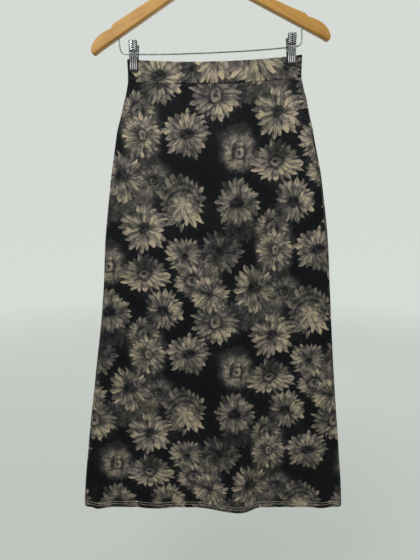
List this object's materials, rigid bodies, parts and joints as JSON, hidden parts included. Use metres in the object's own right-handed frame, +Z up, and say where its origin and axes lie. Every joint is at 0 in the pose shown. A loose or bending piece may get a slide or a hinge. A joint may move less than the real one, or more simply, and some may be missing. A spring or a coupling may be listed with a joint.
{
  "type": "midi skirt on clip hanger",
  "caption": "A-line midi skirt of dark floral jersey with an elastic waistband and stitched hem, held flat by sprung steel clips on the wire bar of a wooden hanger.",
  "frame": {"origin": "underside of the hook's top, where a rail or peg carries the hanger", "axes": "+Z up, +X to the right of someone facing the skirt, -Y out of its front"},
  "size_m": [0.5786, 0.06, 1.1686],
  "materials": {
    "printed_jersey": "matt jersey knit printed with faded beige daisies on near black",
    "hanger_wood": "varnished light wood",
    "bright_steel": "plated steel wire",
    "clip_steel": "pressed and ribbed sheet steel",
    "black_rubber": "matt black grip pads"
  },
  "bodies": {
    "root": {"skirt_front": "printed_jersey", "skirt_back": "printed_jersey", "waistband_front": "printed_jersey", "waistband_back": "printed_jersey", "arm_left": "hanger_wood", "arm_right": "hanger_wood", "hook": "bright_steel", "hook_collar": "bright_steel", "clip_bar": "bright_steel", "clip_front_left": "clip_steel", "clip_back_left": "clip_steel", "clip_spring_left": "clip_steel", "pad_front_left": "black_rubber", "pad_back_left": "black_rubber", "clip_front_right": "clip_steel", "clip_back_right": "clip_steel", "clip_spring_right": "clip_steel", "pad_front_right": "black_rubber", "pad_back_right": "black_rubber"}
  },
  "joints": []
}
